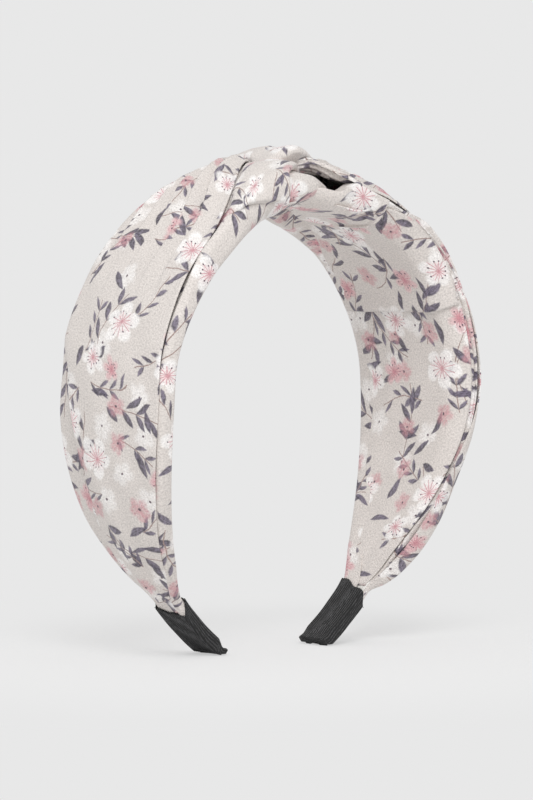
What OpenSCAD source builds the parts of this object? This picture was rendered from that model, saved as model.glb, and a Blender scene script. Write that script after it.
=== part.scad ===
// Knotted fabric headband: a springy hoop core with thin padding, covered by two cloth wraps
// that loop round each other in a knot at the crown, with a cloth lining and ribbon-capped tips.
// Sizes are in millimetres. +Z is up, X runs from ear to ear, -Y is the front edge,
// and the headband stands on its two tips at z = 0.

/* [Hoop] */
// Radius of the core's middle line over the crown
crown_r = 61; // [58:0.5:64]
// Angle that the crown arc covers on each side
crown_deg = 87; // [84:1:90]
// Radius of the middle line over the sides of the head
side_r = 98; // [92:1:104]
// Angle that the side arc covers
side_deg = 38; // [35:1:41]
// Radius of the last arc, down to the tip
tip_r = 92; // [86:1:98]
// Angle that the tip arc covers
tip_deg = 20; // [18:1:22]
// How far the tips stand back behind the crown's middle
tip_sweep = 4; // [0:0.5:6]
// Clearance between the layers
play = 0.2; // [0.15:0.05:0.3]

/* [Core] */
// Thickness of the moulded core
core_t = 1.6; // [1.2:0.1:2.4]
// Width of the core under the knot
core_crown_w = 28; // [25:1:30]
// Width of the core over the ears
core_side_w = 38; // [33:1:41]
// Width of the core inside the tip ribbon
core_tip_w = 10.4; // [9:0.2:12]

/* [Cover] */
// Thickness of the cloth
cloth_t = 0.4; // [0.3:0.05:0.6]
// Thickness of the padding over the core
pad_t = 3.2; // [2.4:0.2:4]
// How much the padded cover swells in the middle
pad_crown = 1.4; // [0.6:0.2:2]
// Width of the cover beside the knot
cover_crown_w = 44; // [42:1:46]
// Width of the cover over the sides of the head
cover_side_w = 50; // [47:0.5:53]
// How far the cover is turned in under the lining
hem_w = 5; // [4:0.5:7]
// How far the outer wrap's folded edge stays inside the cover's edge
outer_inset = 1; // [0.6:0.2:2]
// Height of the gathers beside the knot
pleat_h = 1; // [0.4:0.1:1.2]
// How much the outer wrap lifts off the padding beside the knot
lift_h = 1.2; // [0.6:0.1:1.4]
// How far the lining's edge stays inside the cover's edge
lining_inset = 1.2; // [1:0.1:2]
// Angle from the crown at which the two lining pieces meet
seam_deg = 64; // [52:1:72]

/* [Knot] */
// Angle from the crown's middle to the line where each arm flexes
knot_deg = 16; // [15:0.5:18]
// Free gap between an arm's layers and the knot
flex_gap = 1.3; // [1.1:0.1:1.6]
// Height over the core's middle where the right wrap crosses over the left one
knot_top = 15.8; // [15:0.2:17]
// Height of the left wrap's fold over the core's middle
fold_top = 11; // [10:0.2:11.4]
// How far the loops reach forward and back
loop_reach = 23.2; // [22.4:0.2:24.4]
// How far the loops hang below the core's middle
loop_under = 4.6; // [4.4:0.1:5.4]
// Thickness of a loop's gathered wall
loop_wall = 1.8; // [1.4:0.1:2]
// Angle past the middle at which the left wrap's folded end lies
loop_end_deg = 9; // [8:0.5:10.5]
// Height of the left wrap's folded end over the core's middle
loop_end_top = 6; // [5:0.2:7]
// Angle past the middle at which the right wrap's folded end lies
cross_end_deg = 11; // [10:0.5:12]
// How far the right wrap reaches over the left one
cross_reach = 10.5; // [8:0.5:11]
// How far the wrap's tail reaches along the lining, from the middle
tail_reach = 31; // [28:0.5:36]
// Radius of the tail's rounded edge
tail_r = 43; // [38:1:50]
// Diameter of a tack stitch
tack_d = 0.6; // [0.4:0.1:0.8]
// Length of a tack stitch
tack_len = 4; // [3:0.5:5]

/* [Tip ribbon] */
// Length of the ribbon sleeve
ribbon_len = 26; // [22:0.5:30]
// Thickness of the ribbon
ribbon_t = 0.5; // [0.4:0.05:0.7]
// Length of the folded end that closes the sleeve
ribbon_fold = 2.6; // [2.2:0.1:3.5]
// How far the cloth reaches into the sleeve
ribbon_lap = 8; // [5:0.5:12]
// Depth worn flat where a tip stands on the table
foot_depth = 0.9; // [0.6:0.1:1.1]

/* [Hidden] */
$fn = 48;
core_half = core_t / 2;
end_deg = crown_deg + side_deg + tip_deg;
ribbon_deg = end_deg - degrees_of(ribbon_len, tip_r);
lap_deg = ribbon_deg + degrees_of(ribbon_lap, tip_r);
fold_deg = end_deg - degrees_of(ribbon_fold, tip_r);
gap_deg = degrees_of(flex_gap, crown_r) / 2;
arm_deg = knot_deg + gap_deg;
loop_deg = knot_deg - gap_deg;
swell_deg = crown_deg / 2;
loop_round_deg = loop_end_deg - 4;
cross_round_deg = cross_end_deg - 6;
hem_reach = 11;
own_reach = loop_reach - 4.2;
thin_deg = 110;
lining_end_deg = ribbon_deg - 1.2;
cover_tip_w = core_tip_w + 2 * (play + cloth_t);
sleeve_w = cover_tip_w + 2 * play;
sleeve_h = core_t + 2 * (2 * play + cloth_t);
ribbon_half = sleeve_h / 2 + ribbon_t;
// Centres of the three arcs in the XZ plane, the first over z = 0 until the tips are set down
side_c = (crown_r - side_r) * [sin(crown_deg), cos(crown_deg)];
tip_c = side_c + (side_r - tip_r) * [sin(crown_deg + side_deg), cos(crown_deg + side_deg)];
rise = -foot_depth - tip_c[1] - (tip_r + ribbon_half) * cos(end_deg);

// Angle that an arc of this length covers
function degrees_of(length, radius) = length / radius * 180 / PI;

// A smooth step from 0 to 1
function ease(x) = let(c = min(1, max(0, x))) c * c * (3 - 2 * c);

// Arc that holds the angle t, as its centre and its radius
function arc_centre(t) = [0, rise]
    + (t <= crown_deg ? [0, 0] : t <= crown_deg + side_deg ? side_c : tip_c);
function arc_radius(t) = t <= crown_deg ? crown_r : t <= crown_deg + side_deg ? side_r : tip_r;

// Point at angle t from the crown, y back from the middle plane and n outside the core's middle
function on_hoop(t, y, n) = let(p = arc_centre(t) + (arc_radius(t) + n) * [sin(t), cos(t)])
    [p[0], y, p[1]];

// Width of a layer at angle t: swelling from the crown, then tapering into the ribbon
function layer_w(t, at_crown, at_side, at_tip) =
    at_crown + (at_side - at_crown) * ease(t / swell_deg)
    - (at_side - at_tip) * pow(min(1, max(0, t - crown_deg) / (ribbon_deg - crown_deg)), 1.8);
function core_w(t) = layer_w(t, core_crown_w, core_side_w, core_tip_w);
function cover_w(t) = layer_w(t, cover_crown_w, cover_side_w, cover_tip_w);
function middle_y(t) = tip_sweep * ease((t - crown_deg) / (ribbon_deg - crown_deg));

// Share of the padding left at angle t, and the cover's faces over and under it
function padding_share(t) = 1 - ease((t - thin_deg) / (ribbon_deg - 1 - thin_deg));
function edge_top(t) = core_half + play + cloth_t + (pad_t + play) * padding_share(t);
function edge_bottom(t) = -core_half - play - cloth_t
    - (cloth_t + play) * (1 - ease((t - lining_end_deg) / (ribbon_deg - lining_end_deg)));

// Angles from one end of a layer to the other
function steps(from, to, count) = [for (i = [0 : count]) from + (to - from) * i / count];

// A section's points [y, n] moved in by a thickness, away from the outside
function moved_in(section, thickness) = [for (j = [0 : len(section) - 1])
    let(d = section[min(j + 1, len(section) - 1)] - section[max(j - 1, 0)])
    section[j] + thickness / norm(d) * [d[1], -d[0]]];

// A row of points on the hoop for a section at angle t
function row(t, section, y = 0) = [for (p = section) on_hoop(t, y + p[0], p[1])];

// A closed solid between two grids of points, its outside and its inside
module sheet(outer, inner) {
    rows = len(outer);
    cols = len(outer[0]);
    last_row = rows - 1;
    last_col = cols - 1;
    half = rows * cols;
    points = [for (grid = [outer, inner]) for (r = grid) each r];
    outside = [for (i = [0 : last_row - 1]) for (j = [0 : last_col - 1])
        let(a = i * cols + j) each [[a, a + 1, a + cols + 1], [a, a + cols + 1, a + cols]]];
    inside = [for (f = outside) [f[0] + half, f[2] + half, f[1] + half]];
    start = [for (j = [0 : last_col - 1])
        each [[j + 1, j, j + half], [j + 1, j + half, j + 1 + half]]];
    end = [for (j = [0 : last_col - 1]) let(a = last_row * cols + j)
        each [[a, a + 1, a + 1 + half], [a, a + 1 + half, a + half]]];
    front = [for (i = [0 : last_row - 1]) let(a = i * cols, b = a + cols)
        each [[a, b, b + half], [a, b + half, a + half]]];
    back = [for (i = [0 : last_row - 1]) let(a = i * cols + last_col, b = a + cols)
        each [[b, a, a + half], [b, a + half, b + half]]];
    polyhedron(points, concat(outside, inside, start, end, front, back));
}

// Turns a profile in radius and y around one arc's centre, from angle t0 to t1
module arc_sweep(centre, t0, t1)
    translate([centre[0], 0, centre[1]])
        rotate(a = -120, v = [1, 1, 1])
            rotate([0, 0, t0])
                rotate_extrude(angle = t1 - t0, $fn = 180)
                    children();

// A plain layer between two offsets from the core's middle, over the arcs from t0 to t1
module layer_arcs(n0, n1, t0, t1) {
    joints = [0, crown_deg, crown_deg + side_deg, end_deg];
    // The arcs lap by a hair so that they join into one solid
    lap = 0.02;
    for (k = [0 : 2]) {
        from = max(t0, joints[k] - lap);
        to = min(t1, joints[k + 1]);
        if (to > from)
            arc_sweep(arc_centre((from + to) / 2), from, to)
                translate([arc_radius((from + to) / 2) + n0, -50])
                    square([n1 - n0, 100]);
    }
}

// The width outline of a layer seen from the side, as a block across the whole headband
module width_block(widths, angles) {
    top = on_hoop(0, 0, 30)[2];
    low = on_hoop(end_deg, 0, 30)[2];
    count = len(angles) - 1;
    heights = [for (t = angles) on_hoop(t, 0, 0)[2]];
    front = [for (i = [0 : count]) [middle_y(angles[i]) - widths[i] / 2, heights[i]]];
    back = [for (i = [count : -1 : 0]) [middle_y(angles[i]) + widths[i] / 2, heights[i]]];
    outline = concat([[front[0][0], top]], front, [[front[count][0], low], [back[0][0], low]],
        back, [[back[count][0], top]]);
    rotate(a = 120, v = [1, 1, 1])
        linear_extrude(2 * (crown_r + side_r), center = true)
            polygon(outline);
}

// Angles at which the plain layers' widths are set
width_angles = steps(6, ribbon_deg, 22);

// Moulded core: one leaf spring from tip to tip
module core_band() {
    color("Gainsboro")
        intersection() {
            union() {
                for (side = [0, 1])
                    mirror([side, 0, 0])
                        layer_arcs(-core_half, core_half, 0, fold_deg - 0.2);
            }
            // It narrows a little early, so that the corners of its slanting tips clear the cover
            width_block([for (t = width_angles) core_w(t)], [for (t = width_angles) t - 0.8]);
        }
}

// Cloth under the crown, between the two linings
module crown_lining() {
    color("Linen")
        translate([0, -core_crown_w / 2, 0])
            arc_sweep([0, rise], -loop_deg, loop_deg)
                translate([crown_r - core_half - play - cloth_t, 0])
                    square([cloth_t, core_crown_w]);
}

// Cloth gathered on the core under the two loops
module knot_underlay() {
    color("Linen")
        translate([0, -core_crown_w / 2, 0])
            arc_sweep([0, rise], -loop_deg, loop_deg)
                translate([crown_r + core_half + play, 0])
                    square([2 * cloth_t, core_crown_w]);
}

// A loop's top, bottom and inner end at angle t, which is below zero on the loop's own arm.
// Each covers its arm's whole width and narrows to its own side. The left loop sinks to its folded
// end; the right one rises, crosses over it and ends in a roll
function own_share(t) = ease((-t - 4) / (loop_deg - 4));
function fold_height(t) = fold_top - (fold_top - loop_end_top) * ease((t + 6) / (loop_end_deg + 6));
function fold_low(t) = -loop_under * (1 - ease((t - 2) / (loop_end_deg - 2)));
function fold_inner(t) = -1.5 + (own_reach + 1.5) * own_share(t)
    - 14 * ease((t - 2) / (loop_end_deg - 2));
function cross_height(t) = knot_top - (knot_top - fold_top) * ease(-(t + 1) / (loop_deg - 1))
    - 1.5 * ease(t / cross_end_deg);
function cross_low(t) = -loop_under + 13 * ease(t / 6);
function cross_inner(t) = cross_reach + (own_reach - cross_reach) * own_share(t);

// Share to which a section has shrunk between the angle where its end starts and the end itself
function end_share(t, from, to) = t <= from ? 1
    : max(0.15, sqrt(max(0, 1 - pow((t - from) / (to - from), 2))));

// The round part of a loop's section, from its hem under the core to its top, set in by w
function loop_round(top, low, reach, w) =
    let(mid = (top + low) / 2, half = (top - low) / 2)
    [for (a = steps(250, 90, 10)) let(across = (a > 180 ? min(reach, hem_reach) : reach) - w)
        [-loop_reach + w + across * (1 + cos(a)), mid + (half - w) * sin(a)]];

function fold_section(t, wall) =
    let(share = end_share(t, loop_round_deg, loop_end_deg), tip = [3.6 - loop_reach, 2.4])
    let(top = fold_height(t), low = fold_low(t), inner = fold_inner(t))
    let(reach = min(hem_reach, (inner + loop_reach) / 2), over = inner + loop_reach - reach)
    let(w = min(wall / share, 0.3 * (top - low), 0.6 * reach))
    let(points = concat(loop_round(top, low, reach, w),
        [for (k = [1 : 3]) [reach - loop_reach + over * k / 3, top - 0.9 * k - w]]))
    [for (p = points) tip + share * (p - tip)];

function cross_section(t, wall) =
    let(share = end_share(t, cross_round_deg, cross_end_deg), tip = [2, 12])
    let(top = cross_height(t), low = cross_low(t), inner = cross_inner(t))
    let(w = min(wall / share, 0.3 * (top - low)))
    let(roll = [[inner - 4, top - w], [inner - 1.2 - 0.6 * w, top - 0.8 - 0.8 * w],
        [inner - 0.9 * w, top - 3 - 0.4 * w]])
    let(points = concat(loop_round(top, low, 17, w), roll))
    [for (p = points) tip + share * (p - tip)];

// Angles from a loop's own arm to its rounded end
function loop_angles(from, to) = concat(steps(-loop_deg, from, 13),
    [for (a = [18 : 18 : 90]) from + (to - from) * sin(a)]);

// The left wrap's loop: it crosses the crown in front and folds round the right wrap
module left_knot_loop() {
    angles = loop_angles(loop_round_deg, loop_end_deg);
    color("AntiqueWhite")
        sheet([for (t = angles) row(t, fold_section(t, 0))],
            [for (t = angles) row(t, fold_section(t, loop_wall))]);
}

// The right wrap's loop: it comes round the back and crosses over the left one
module right_knot_loop() {
    angles = loop_angles(cross_round_deg, cross_end_deg);
    color("AntiqueWhite")
        rotate([0, 0, 180])
            sheet([for (t = angles) row(t, cross_section(t, 0))],
                [for (t = angles) row(t, cross_section(t, loop_wall))]);
}

// Thread bars that tack the loops' turned-in hems to the crown lining
module knot_tacks() {
    reach = core_crown_w / 2 - tack_len / 2 - 1;
    color("White")
        for (turn = [0, 180], t = [-7, -2, 4])
            rotate([0, 0, turn])
                translate(on_hoop(t, -reach, -core_half - 2 * play - cloth_t - tack_d / 2))
                    rotate([90, 0, 0])
                        cylinder(h = tack_len, d = tack_d, center = true, $fn = 16);
}

// Thin padding between the core and the cover
module padding() {
    angles = steps(arm_deg, ribbon_deg - 6, 22);
    shares = [-1, -0.5, 0, 0.5, 1];
    color("WhiteSmoke")
        sheet([for (t = angles) let(half = cover_w(t) / 2 - 3.2, p = padding_share(t))
                row(t, [for (v = shares) [half * v,
                    core_half + play + (pad_t + pad_crown * (1 - v * v) * 0.8) * p]], middle_y(t))],
            [for (t = angles) let(half = cover_w(t) / 2 - 1.4)
                row(t, [for (v = shares) [half * v, core_half + play]], middle_y(t))]);
}

// Section of the edge wrap: from one turned-in hem round the padding to the other
function edge_section(t) =
    let(half = cover_w(t) / 2, top = edge_top(t), low = edge_bottom(t))
    let(hem = min(hem_w, 0.6 * half), swell = pad_crown * padding_share(t))
    let(round = 0.25 + 0.75 * sqrt(padding_share(t)))
    let(side = [[half - hem, low], [half - 1.5 * round, low], [half - 0.4 * round, low + 0.7 * round],
        [half, (low + top) / 2], [half - 0.4 * round, top - 0.7 * round], [half - 1.6 * round, top]])
    let(over = [[half / 2, top + 0.75 * swell]])
    concat([for (p = concat(side, over)) [-p[0], p[1]]], [[0, top + swell]],
        [for (j = [0 : 6]) concat(side, over)[6 - j]]);

// Under layer of a wrap, which closes the front and back edges
module edge_wrap() {
    angles = concat(steps(arm_deg, lining_end_deg, 23), [ribbon_deg, lap_deg]);
    color("AntiqueWhite")
        sheet([for (t = angles) row(t, edge_section(t), middle_y(t))],
            [for (t = angles) row(t, moved_in(edge_section(t), cloth_t), middle_y(t))]);
}

// Section of the outer wrap: swelling over the padding, gathered in pleats beside the knot
function outer_section(t, thickness) =
    let(half = cover_w(t) / 2 - outer_inset, swell = pad_crown * padding_share(t))
    let(near = 1 - ease((t - arm_deg) / 34))
    [for (v = steps(-1, 1, 14)) [half * v, edge_top(t) + play + thickness + swell * (1 - v * v)
        + near * (lift_h + pleat_h * (cos(v * 4 * 180) - 1) / 2 * (1 - v * v)
        * ease((t - arm_deg) / 8))]];

// Outer layer of a wrap, over the outside of one arm
module outer_wrap() {
    angles = steps(arm_deg, ribbon_deg - 0.3, 24);
    color("Linen")
        sheet([for (t = angles) row(t, outer_section(t, cloth_t), middle_y(t))],
            [for (t = angles) row(t, outer_section(t, 0), middle_y(t))]);
}

// One length of the lining inside an arm
module lining(t0, t1) {
    inset_w = [for (t = width_angles) cover_w(t) - 2 * lining_inset];
    intersection() {
        layer_arcs(-core_half - play - cloth_t, -core_half - play, t0, t1);
        width_block(inset_w, width_angles);
    }
}

module lining_upper()
    color("Linen")
        lining(arm_deg, seam_deg - 0.1);

module lining_lower()
    color("AntiqueWhite")
        lining(seam_deg + 0.1, lining_end_deg);

// Rounded tail of a wrap, laid back along the inside of the arm
module wrap_tail() {
    bottom = -core_half - 2 * play - 2 * cloth_t;
    tail_w = [for (t = width_angles) cover_w(t) - 2 * hem_w - 2 * lining_inset];
    color("AntiqueWhite")
        intersection() {
            layer_arcs(bottom, bottom + cloth_t, arm_deg, seam_deg - 8);
            width_block(tail_w, width_angles);
            translate([tail_reach - tail_r, 0, 0])
                cylinder(h = 3 * crown_r, r = tail_r, $fn = 180);
        }
}

// Rectangle with round corners, in radius and y, centred on the core's middle line
module rounded_section(across, along, corner)
    translate([tip_r, tip_sweep]) {
        square([across - 2 * corner, along], center = true);
        square([across, along - 2 * corner], center = true);
        for (x = [-1, 1], y = [-1, 1])
            translate([x * (across / 2 - corner), y * (along / 2 - corner)])
                circle(corner);
    }

// Ribbon sleeve over a tip, folded shut at the end and flat where it stands
module tip_ribbon() {
    centre = arc_centre(end_deg);
    color("DimGray")
        difference() {
            arc_sweep(centre, ribbon_deg, end_deg)
                rounded_section(2 * ribbon_half, sleeve_w + 2 * ribbon_t, 0.8);
            arc_sweep(centre, ribbon_deg - 1, fold_deg)
                rounded_section(sleeve_h, sleeve_w, 0.3);
            translate([0, 0, -10])
                cube([4 * tip_r, 4 * tip_r, 20], center = true);
        }
}

module left_side()
    mirror([1, 0, 0])
        children();

module left_padding() left_side() padding();
module right_padding() padding();
module left_edge_wrap() left_side() edge_wrap();
module right_edge_wrap() edge_wrap();
module left_outer_wrap() left_side() outer_wrap();
module right_outer_wrap() outer_wrap();
module left_wrap_tail() left_side() wrap_tail();
module right_wrap_tail() wrap_tail();
module left_lining_upper() left_side() lining_upper();
module right_lining_upper() lining_upper();
module left_lining_lower() left_side() lining_lower();
module right_lining_lower() lining_lower();
module left_tip_ribbon() left_side() tip_ribbon();
module right_tip_ribbon() tip_ribbon();

core_band();
crown_lining();
knot_underlay();
left_knot_loop();
right_knot_loop();
knot_tacks();
left_padding();
right_padding();
left_edge_wrap();
right_edge_wrap();
left_outer_wrap();
right_outer_wrap();
left_wrap_tail();
right_wrap_tail();
left_lining_upper();
right_lining_upper();
left_lining_lower();
right_lining_lower();
left_tip_ribbon();
right_tip_ribbon();
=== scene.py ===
"""Knotted fabric headband, standing on its two tips as in the photo.

Every piece is a sheet laid over the hoop: t is the angle from the crown in degrees, across is the
distance from the middle line and n the distance outside the core's middle, both in millimetres.
Each arm is the other one turned half round, so "across" is below zero on the side of an arm's own
fold in the knot, and above zero on the other side.
"""

import math

import bpy
import numpy as np
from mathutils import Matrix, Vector


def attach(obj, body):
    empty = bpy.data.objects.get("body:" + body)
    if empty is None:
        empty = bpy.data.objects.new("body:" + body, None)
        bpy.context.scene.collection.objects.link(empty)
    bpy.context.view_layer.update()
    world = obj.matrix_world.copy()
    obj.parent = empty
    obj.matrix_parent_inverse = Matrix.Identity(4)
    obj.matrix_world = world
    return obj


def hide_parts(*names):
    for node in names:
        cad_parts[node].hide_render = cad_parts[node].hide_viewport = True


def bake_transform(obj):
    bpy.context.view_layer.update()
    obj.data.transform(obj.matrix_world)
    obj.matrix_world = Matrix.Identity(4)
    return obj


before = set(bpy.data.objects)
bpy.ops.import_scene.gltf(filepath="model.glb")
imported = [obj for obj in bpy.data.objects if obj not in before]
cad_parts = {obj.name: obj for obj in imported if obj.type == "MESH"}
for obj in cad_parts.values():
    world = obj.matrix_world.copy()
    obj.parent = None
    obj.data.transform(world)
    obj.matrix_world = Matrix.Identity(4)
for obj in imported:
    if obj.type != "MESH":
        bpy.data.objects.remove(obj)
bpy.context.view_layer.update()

MM = 0.001
LEFT, RIGHT = -1, 1

# The hoop, as in the construction
CROWN_R, SIDE_R, TIP_R = 61.0, 98.0, 92.0
CROWN_DEG, SIDE_DEG, TIP_DEG = 87.0, 38.0, 20.0
END_DEG = CROWN_DEG + SIDE_DEG + TIP_DEG
TIP_SWEEP = 4.0
FOOT_DEPTH = 0.9
RIBBON_LEN = 26.0
RIBBON_HALF_N, RIBBON_HALF_Y = 2.1, 6.5
RIBBON_DEG = END_DEG - math.degrees(RIBBON_LEN / TIP_R)
CORE_HALF = 0.8
ARM_DEG = 16.6

# The layers: widths at the crown, over the sides and at the tip
CLOTH_T = 0.45
PAD_T, PAD_SWELL = 3.4, 1.4
THIN_DEG = 110.0
COVER_W = (44.0, 50.0, 11.6)
CORE_W = (28.0, 38.0, 10.4)
SEAM_DEG = 64.0
TUCK_DEG = 121.0
CLOTH_END_DEG = 134.0
DRAWN_IN_W = 9.0


def part(x, low, high):
    """How far x lies between low and high, from 0 to 1."""
    return np.clip((x - low) / (high - low), 0.0, 1.0)


def step(x, low, high):
    """0 below low and 1 above high, with a soft step between."""
    share = part(x, low, high)
    return share * share * (3.0 - 2.0 * share)


def curve(x, *stops):
    """A smooth line through (x, y) stops, level beyond the ends."""
    xs, ys = np.array(stops, float).T
    slopes = np.gradient(ys, xs)
    slopes[0] = slopes[-1] = 0.0
    x = np.clip(x, xs[0], xs[-1])
    i = np.clip(np.searchsorted(xs, x) - 1, 0, len(xs) - 2)
    h = xs[i + 1] - xs[i]
    s = (x - xs[i]) / h
    low = (1 + 2 * s) * (1 - s) ** 2 * ys[i] + s * (1 - s) ** 2 * h * slopes[i]
    high = s ** 2 * (3 - 2 * s) * ys[i + 1] + s ** 2 * (s - 1) * h * slopes[i + 1]
    return low + high


def sin_deg(a):
    return np.sin(np.radians(a))


def cos_deg(a):
    return np.cos(np.radians(a))


SIDE_C = ((CROWN_R - SIDE_R) * sin_deg(CROWN_DEG), (CROWN_R - SIDE_R) * cos_deg(CROWN_DEG))
TIP_C = (
    SIDE_C[0] + (SIDE_R - TIP_R) * sin_deg(CROWN_DEG + SIDE_DEG),
    SIDE_C[1] + (SIDE_R - TIP_R) * cos_deg(CROWN_DEG + SIDE_DEG),
)
RISE = -FOOT_DEPTH - TIP_C[1] - (TIP_R + RIBBON_HALF_N) * cos_deg(END_DEG)


def by_arc(t, crown, side, tip):
    """The value that belongs to the arc on which t lies."""
    a = np.abs(t)
    return np.where(a <= CROWN_DEG, crown, np.where(a <= CROWN_DEG + SIDE_DEG, side, tip))


def middle_y(t):
    """The hoop's middle line, which sweeps back towards the tips."""
    return TIP_SWEEP * step(t, CROWN_DEG, RIBBON_DEG)


def on_arm(side, t, across, n):
    """Points on one arm, in millimetres; t below zero is past the crown on the other arm."""
    t, across, n = np.broadcast_arrays(t, across, n)
    out = by_arc(t, CROWN_R, SIDE_R, TIP_R) + n
    x = np.sign(t) * by_arc(t, 0.0, SIDE_C[0], TIP_C[0]) + out * sin_deg(t)
    z = RISE + by_arc(t, 0.0, SIDE_C[1], TIP_C[1]) + out * cos_deg(t)
    y = middle_y(t) - side * across
    return np.stack([side * x, y, z], axis=-1)


def layer_w(t, widths):
    """A layer's width along the arm."""
    crown, wide, tip = widths
    taper = part(t, CROWN_DEG, RIBBON_DEG) ** 1.8
    return crown + (wide - crown) * step(t, 0.0, CROWN_DEG / 2) - (wide - tip) * taper


def padding_share(t):
    """1 where the padding is full, down to 0 at the ribbon."""
    return 1.0 - step(t, THIN_DEG, RIBBON_DEG - 1.0)


def top_of_edge(t):
    """How high the padded arm's edge stands."""
    return CORE_HALF + 0.6 + PAD_T * padding_share(t)


def spread(*stops):
    """Values running through (value, count) stops, with count steps up to each."""
    values = [stops[0][0]]
    for (start, _), (stop, count) in zip(stops, stops[1:]):
        values.extend(np.linspace(start, stop, count + 1)[1:])
    return np.array(values)


def grid_normals(points, closed):
    if closed:
        padded = np.concatenate([points[:, -1:], points, points[:, :1]], axis=1)
        d_cols = (padded[:, 2:] - padded[:, :-2]) / 2
    else:
        d_cols = np.gradient(points, axis=1)
    d_rows = np.gradient(points, axis=0)
    normals = np.cross(d_cols, d_rows)
    lengths = np.linalg.norm(normals, axis=-1, keepdims=True)
    return normals / np.maximum(lengths, 1e-9)


def cloth_uv(points, origin):
    """Position on the flat cloth in millimetres, measured along the surface."""
    middle = points.shape[1] // 2
    along = np.concatenate([[0], np.cumsum(np.linalg.norm(np.diff(points[:, middle], axis=0), axis=-1))])
    over = np.linalg.norm(np.diff(points, axis=1), axis=-1)
    over = np.concatenate([np.zeros((len(points), 1)), np.cumsum(over, axis=1)], axis=1)
    over = over - over[:, middle : middle + 1]
    return np.stack([over + origin[0], np.broadcast_to(along[:, None], over.shape) + origin[1]], axis=-1)


def make_object(name, verts, faces, material, vert_uv=None):
    mesh = bpy.data.meshes.new(name)
    mesh.from_pydata((np.asarray(verts) * MM).tolist(), [], faces)
    mesh.polygons.foreach_set("use_smooth", [True] * len(mesh.polygons))
    if vert_uv is not None:
        layer = mesh.uv_layers.new(name="cloth")
        corners = np.zeros(len(mesh.loops), dtype=np.int32)
        mesh.loops.foreach_get("vertex_index", corners)
        layer.data.foreach_set("uv", vert_uv[corners].astype(np.float32).ravel())
    mesh.materials.append(material)
    mesh.validate()
    mesh.update()
    obj = bpy.data.objects.new(name, mesh)
    bpy.context.collection.objects.link(obj)
    return obj


def quads(index):
    """Faces between neighbouring rows and columns of a grid of vertex numbers."""
    corners = (index[:-1, :-1], index[:-1, 1:], index[1:, 1:], index[1:, :-1])
    return np.stack([c.ravel() for c in corners], 1)


def cloth(name, points, thickness, material, origin=(0.0, 0.0), closed=False):
    """A closed sheet: the grid of points is its outer face, the inner one lies a thickness below."""
    rows, cols = points.shape[:2]
    inner = points - grid_normals(points, closed) * thickness
    verts = np.concatenate([points.reshape(-1, 3), inner.reshape(-1, 3)])
    uv = cloth_uv(points, origin).reshape(-1, 2)
    index = np.arange(rows * cols).reshape(rows, cols)
    if closed:
        index = np.concatenate([index, index[:, :1]], axis=1)
    half = rows * cols
    faces = np.concatenate([quads(index), quads(index)[:, ::-1] + half])
    rims = [index[0], index[-1, ::-1]]
    if not closed:
        rims += [index[::-1, 0], index[:, -1]]
    for rim in rims:
        p, q = rim[:-1], rim[1:]
        faces = np.concatenate([faces, np.stack([q, p, p + half, q + half], 1)])
    return make_object(name, verts, faces.tolist(), material, np.concatenate([uv, uv]))


# Materials


def linear(r, g, b):
    """A colour given as it looks on screen, 0 to 255."""
    return tuple(((c / 255 + 0.055) / 1.055) ** 2.4 for c in (r, g, b)) + (1.0,)


WHITE = linear(245, 242, 240)
PINK = linear(222, 184, 186)
ROSE = linear(204, 150, 156)
GROUND = linear(217, 210, 205)
STEM = linear(160, 138, 132)
STAMEN = linear(198, 132, 142)
STAMEN_DOT = linear(92, 76, 88)
BUD_HEART = linear(96, 78, 88)
LEAF_DARK, LEAF_PALE = linear(26, 21, 36), linear(122, 113, 132)
# The ribbon's pale colour is a painted highlight on the crests of its ribs.
RIBBON_DARK, RIBBON_RIB_HIGHLIGHT = linear(16, 16, 17), linear(80, 80, 82)
BACKDROP = linear(232, 232, 232)


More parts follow.
